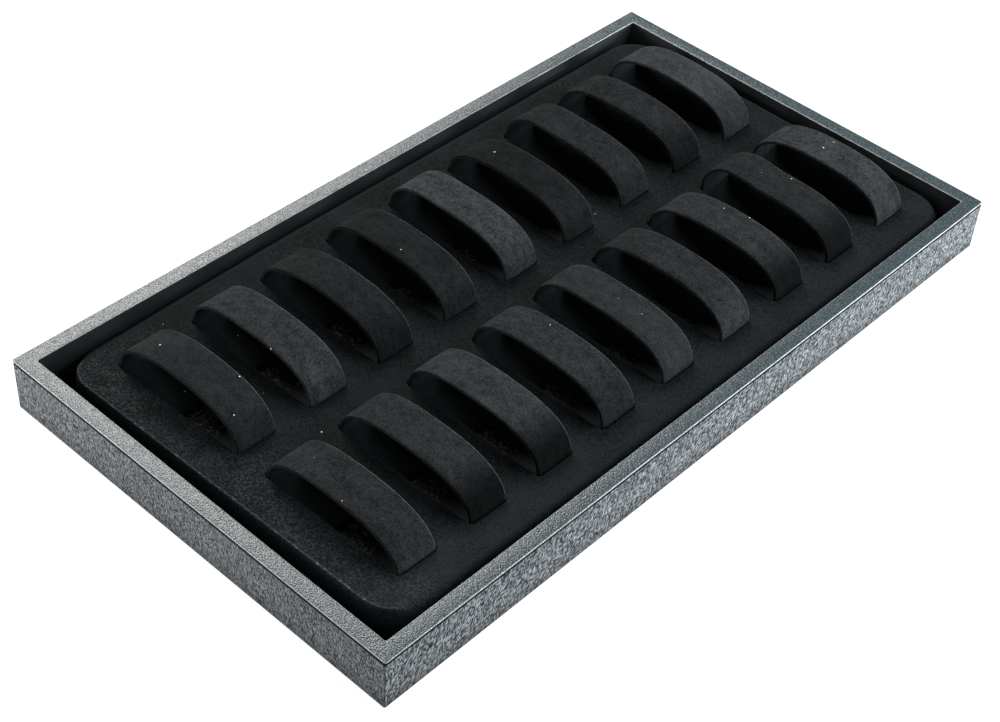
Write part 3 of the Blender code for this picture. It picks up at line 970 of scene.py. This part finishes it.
def border_points(low, high):
    """The outer points of all the cells, in order from the low corner, counter-clockwise."""
    across_x, across_y = cell_lines()
    bottom = joined_runs([(x, low[1]) for x in across_x], CELL_STEPS_X)
    right = joined_runs([(high[0], y) for y in across_y], CELL_STEPS_Y)
    top = joined_runs([(x, high[1]) for x in reversed(across_x)], CELL_STEPS_X)
    left = joined_runs([(low[0], y) for y in reversed(across_y)], CELL_STEPS_Y)
    return bottom + right + top + left


def make_liner(material):
    """The liner in one piece: a cell for each pocket, and the border round them all."""
    builder = MeshBuilder()
    across_x, across_y = cell_lines()
    for row in range(1, ROWS + 1):
        for place in range(1, PLACES + 1):
            low = Vector((across_x[place - 1], across_y[row - 1]))
            high = Vector((across_x[place], across_y[row]))
            liner_cell(builder, collar_centre(row, place), low, high)
    liner_border(builder, (across_x[0], across_y[0]), (across_x[-1], across_y[-1]))
    liner = builder.build("liner_sheet", LINER_SHARP_ANGLE)
    liner.data.materials.append(material)
    return liner


def collar_midline():
    """Centre line of the band seen along X, as closely spaced points from tip to tip."""
    half_length = (COLLAR_LENGTH - COLLAR_THICKNESS) / 2
    curl = COLLAR_CURL_RADIUS - COLLAR_THICKNESS / 2
    turn = math.pi / 2 - COLLAR_LEG_SLOPE
    curl_centre = half_length - curl
    leg_reach = curl_centre + curl * math.cos(turn) - COLLAR_OPENING / 2
    half_skin = COLLAR_THICKNESS / 2 * math.cos(COLLAR_LEG_SLOPE)
    waist = COLLAR_SEAT + half_skin + leg_reach * math.tan(COLLAR_LEG_SLOPE) + curl * math.sin(turn)
    rise = COLLAR_TOP - COLLAR_THICKNESS / 2 - waist
    side = [(COLLAR_OPENING / 2, COLLAR_SEAT + half_skin)]
    for step in range(CURL_STEPS + 1):
        angle = turn * (1 - step / CURL_STEPS)
        side.append((curl_centre + curl * math.cos(angle), waist - curl * math.sin(angle)))
    crown = []
    power = 2 / COLLAR_SQUARENESS
    for step in range(1, CROWN_STEPS):
        angle = math.pi * step / CROWN_STEPS
        along = math.copysign(abs(math.cos(angle)) ** power, math.cos(angle))
        crown.append((half_length * along, waist + rise * math.sin(angle) ** power))
    other_side = [(-y, z) for y, z in reversed(side)]
    return [Vector(point) for point in side + crown + other_side]


def even_stations(line, spacing):
    """Points evenly spaced along a line, each with its outward direction and its run from the start."""
    runs = [0.0]
    for before, after in zip(line, line[1:]):
        runs.append(runs[-1] + (after - before).length)
    count = round(runs[-1] / spacing)
    stations = []
    index = 0
    for number in range(count + 1):
        run = runs[-1] * number / count
        while index < len(line) - 2 and runs[index + 1] < run:
            index += 1
        share = (run - runs[index]) / (runs[index + 1] - runs[index])
        stations.append((line[index].lerp(line[index + 1], share), run))
    result = []
    for number, (point, run) in enumerate(stations):
        before = stations[max(number - 1, 0)][0]
        after = stations[min(number + 1, count)][0]
        direction = (after - before).normalized()
        result.append((point, Vector((direction.y, -direction.x)), run))
    return result


def edge_arc(side, outward):
    """A round corner of the strip's section, from a face to the edge: points as in band_section."""
    flat = COLLAR_BAND_WIDTH / 2 - COLLAR_EDGE_RADIUS
    skin = COLLAR_THICKNESS / 2 - COLLAR_EDGE_RADIUS
    points = []
    for step in range(EDGE_ARC_STEPS + 1):
        angle = math.pi / 2 * step / EDGE_ARC_STEPS
        across = side * (flat + COLLAR_EDGE_RADIUS * math.sin(angle))
        out = outward * (skin + COLLAR_EDGE_RADIUS * math.cos(angle))
        points.append((across, out, min(step / 2, 1.0), 0.0))
    return points


def band_section(seam_place, seam_width):
    """The strip's section: place across, place outward, and how much edge or seam it is."""
    skin = COLLAR_THICKNESS / 2
    flat = COLLAR_BAND_WIDTH / 2 - COLLAR_EDGE_RADIUS
    left = seam_place - seam_width / 2
    right = seam_place + seam_width / 2
    lip = seam_width * SEAM_LIP
    outer_face = []
    for share in (-0.75, -0.4, 0.0, 0.4, 0.75):
        pillow = COLLAR_PILLOW * (1 - share * share)
        outer_face.append((share * flat, skin + pillow, 0.0, 0.0))
    inner_face = [
        (flat * 0.55, -skin, 0.0, 0.0),
        (right + lip, -skin - COLLAR_PILLOW * 0.5, 0.0, 0.2),
        (right, -skin - COLLAR_PILLOW, 0.0, 1.0),
        (seam_place + lip / 2, -skin + SEAM_DEPTH, 0.0, 0.5),
        (seam_place - lip / 2, -skin + SEAM_DEPTH, 0.0, 0.5),
        (left, -skin, 0.0, 1.0),
        (left - lip, -skin, 0.0, 0.2),
        (-flat * 0.55, -skin, 0.0, 0.0),
    ]
    high_side = edge_arc(1, 1) + edge_arc(1, -1)[::-1]
    low_side = edge_arc(-1, -1) + edge_arc(-1, 1)[::-1]
    return outer_face + high_side + inner_face + low_side


def band_place(centre, across, point, lean):
    """A point of a collar in the frame, with its lean to one side growing with height."""
    x = centre.x + across + (point.y - COLLAR_SEAT) * math.tan(lean)
    return Vector((x, centre.y + point.x, point.y))


def tip_thickness(run, last_run):
    """Share of the strip's thickness at a run: the strip rounds off at its two tips."""
    reach = min(min(run, last_run - run) / COLLAR_EDGE_RADIUS, 1.0)
    return TIP_THICKNESS + (1 - TIP_THICKNESS) * math.sqrt(reach * (2 - reach))


def midline_tone(point, crown_tone, leg_tone):
    """Tone of the pile at a point of the midline: the leg's on the near leg and else the crown's."""
    centre_share = abs(point.x) / (COLLAR_LENGTH / 2)
    leg = smooth_step(0.45, 0.95, centre_share) if point.x < 0 else 0.0
    return crown_tone + (leg_tone - crown_tone) * leg


def far_end_share(point):
    """1 at the far end of a collar's crown, and 0 on its near half and low down."""
    along = smooth_step(0.1, 0.75, point.x / (COLLAR_LENGTH / 2))
    return along * smooth_step(LINER_TOP / 2, LINER_TOP, point.y)


def side_wander(run, across, number):
    """How far an edge of a strip wanders to the side, as strips cut by hand do."""
    edge = math.copysign(EDGE_SHIFT, across)
    spot = Vector((run / COLLAR_WANDER_LENGTH, number * WANDER_SHIFT, edge))
    return noise.noise(spot) * COLLAR_WANDER * abs(across) / (COLLAR_BAND_WIDTH / 2)


def swell(run, across, number):
    """How far the cloth of a strip stands out or sinks in."""
    spot = Vector((run / COLLAR_SWELL_LENGTH, across / COLLAR_SWELL_WIDTH, number * SWELL_SHIFT))
    return noise.noise(spot) * COLLAR_SWELL


def make_collar(row, place, stations, material, chance):
    """One collar: the strip's section carried along the midline, with its own small differences."""
    lean = chance.uniform(-COLLAR_LEAN, COLLAR_LEAN)
    slide = chance.uniform(-COLLAR_SLIDE, COLLAR_SLIDE)
    seam_place = chance.uniform(-SEAM_ASIDE, SEAM_ASIDE) * MM
    seam_width = chance.uniform(*SEAM_WIDTHS) * MM
    section = band_section(seam_place, seam_width)
    centre = collar_centre(row, place) + Vector((0.0, slide, 0.0))
    number = (row - 1) * PLACES + place
    crown_tone = CROWN_TONE[row][place - 1]
    leg_tone = LEG_TONE[row][place - 1]
    far_rise = FAR_RISE[row][place - 1] * MM
    last_run = stations[-1][2]
    builder = MeshBuilder()
    rings = []
    for point, outward, run in stations:
        thickness = tip_thickness(run, last_run)
        tone = midline_tone(point, crown_tone, leg_tone)
        point = point + Vector((0.0, far_rise * far_end_share(point)))
        ring = []
        for across, out, edge, seam in section:
            moved = across + side_wander(run, across, number)
            lifted = point + outward * (out * thickness + swell(run, across, number))
            spot = band_place(centre, moved, lifted, lean)
            band = (run / MM, across / MM, number * PATTERN_SHIFT)
            # Painted highlight along the far edges
            far_edge_highlight = edge if across > 0 and out > 0 else 0.0
            # Painted shade darkens the tone of the near edges
            near_edge_shaded_tone = tone * (1.0 - NEAR_EDGE_SHADE * edge) if across < 0 else tone
            inner = 1.0 if out < 0 else 0.0
            looks = {"edge": far_edge_highlight, "seam": seam, "tone": near_edge_shaded_tone, "inner": inner}
            ring.append(builder.point(spot, band=band, **looks))
        rings.append(ring)
    builder.bands(rings)
    builder.caps(rings)
    collar = builder.build(f"collar_band_row{row}_place{place}", COLLAR_SHARP_ANGLE)
    collar.data.materials.append(material)
    return collar


def make_collars(material):
    """All the collars by row and place."""
    chance = random.Random(CHANCE_SEED)
    stations = even_stations(collar_midline(), STATION_SPACING)
    collars = {}
    for row in range(1, ROWS + 1):
        for place in range(1, PLACES + 1):
            collars[row, place] = make_collar(row, place, stations, material, chance)
    return collars


def pale_floor():
    """White to the camera and in reflections, with the object's shadow. Other light meets plain grey."""
    nodes = Nodes("pale_floor")
    path = nodes.add("ShaderNodeLightPath").outputs
    seen = nodes.greatest(path["Is Camera Ray"], path["Is Glossy Ray"], path["Is Transmission Ray"])
    bounce = nodes.add("ShaderNodeBsdfDiffuse", {"Color": FLOOR_BOUNCE})
    shadowed = nodes.add("ShaderNodeBsdfDiffuse", {"Color": FLOOR_SHADOWED})
    glow = nodes.add("ShaderNodeEmission", {"Color": WHITE, "Strength": FLOOR_GLOW})
    shown = nodes.add("ShaderNodeAddShader", {0: shadowed.outputs[0], 1: glow.outputs[0]})
    choice = nodes.add("ShaderNodeMixShader", {0: seen, 1: bounce.outputs[0], 2: shown.outputs[0]})
    nodes.put(nodes.output.inputs["Surface"], choice.outputs[0])
    nodes.material.cycles.emission_sampling = "NONE"
    return nodes.material


def make_floor():
    """One large square that the tray stands on."""
    builder = MeshBuilder()
    half = FLOOR_SIZE / 2
    corners = [(-half, -half, 0.0), (half, -half, 0.0), (half, half, 0.0), (-half, half, 0.0)]
    builder.faces.append(tuple(builder.ring(corners)))
    floor = builder.build("floor", FLOOR_SHARP_ANGLE)
    floor.data.materials.append(pale_floor())


def make_world():
    """Plain even surroundings. The floor fills the camera's view, so they aren't seen in it."""
    world = bpy.data.worlds.new("studio")
    bpy.context.scene.world = world
    world.use_nodes = True
    background = world.node_tree.nodes["Background"]
    background.inputs["Color"].default_value = WORLD_COLOUR
    background.inputs["Strength"].default_value = WORLD_STRENGTH


def softbox(name, place, aim, width, height, watts, colour):
    """An area lamp at a place, turned to the point that it is aimed at."""
    lamp = bpy.data.lights.new(name, "AREA")
    lamp.shape = "RECTANGLE"
    lamp.size = width
    lamp.size_y = height
    lamp.energy = watts
    lamp.color = colour
    thing = new_object(name, lamp)
    thing.location = place
    thing.rotation_mode = "QUATERNION"
    thing.rotation_quaternion = (Vector(aim) - Vector(place)).to_track_quat("-Z", "Y")


def make_lamps():
    """All the lamps of the list."""
    for lamp in LAMPS:
        softbox(*lamp)


def make_camera():
    """The photograph's camera: its place from the angles, and the picture's axis from the shift."""
    level = math.cos(CAMERA_ELEVATION)
    back = Vector((math.sin(CAMERA_AZIMUTH) * level, -math.cos(CAMERA_AZIMUTH) * level,
                   math.sin(CAMERA_ELEVATION)))
    level_right = Vector((0, 0, 1)).cross(back).normalized()
    level_up = back.cross(level_right)
    right = level_right * math.cos(CAMERA_ROLL) + level_up * math.sin(CAMERA_ROLL)
    up = level_up * math.cos(CAMERA_ROLL) - level_right * math.sin(CAMERA_ROLL)
    data = bpy.data.cameras.new("camera")
    data.sensor_width = SENSOR_WIDTH
    data.lens = SENSOR_WIDTH * FOCAL_LENGTH_PIXELS / PICTURE_WIDTH
    data.shift_x = (PICTURE_WIDTH / 2 - AXIS_PIXEL.x) / PICTURE_WIDTH
    data.shift_y = (AXIS_PIXEL.y - PICTURE_HEIGHT / 2) / PICTURE_WIDTH
    data.clip_start = CAMERA_NEAR
    data.clip_end = CAMERA_FAR
    camera = new_object("camera", data)
    turn = Matrix((right, up, back)).transposed()
    camera.rotation_mode = "QUATERNION"
    camera.rotation_quaternion = turn.to_quaternion()
    camera.location = back * CAMERA_DISTANCE + right * CAMERA_ASIDE.x + up * CAMERA_ASIDE.y
    bpy.context.scene.camera = camera


make_camera()
make_world()
make_lamps()
make_floor()

wall_plastic = grained_plastic("grained_black_plastic", WALL_GLOSS)
rim_plastic = grained_plastic("fine_grained_black_plastic", RIM_GLOSS)
tray_piece = make_tray(wall_plastic, rim_plastic)
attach(tray_piece, "root")
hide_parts("tray")

liner_piece = make_liner(flocked_sheet())
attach(liner_piece, "root")
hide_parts("liner")

for (row, place), collar_piece in make_collars(suede_cloth()).items():
    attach(collar_piece, "root")
    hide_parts(f"collar_row{row}_place{place}")

bpy.context.scene.view_settings.view_transform = "Standard"
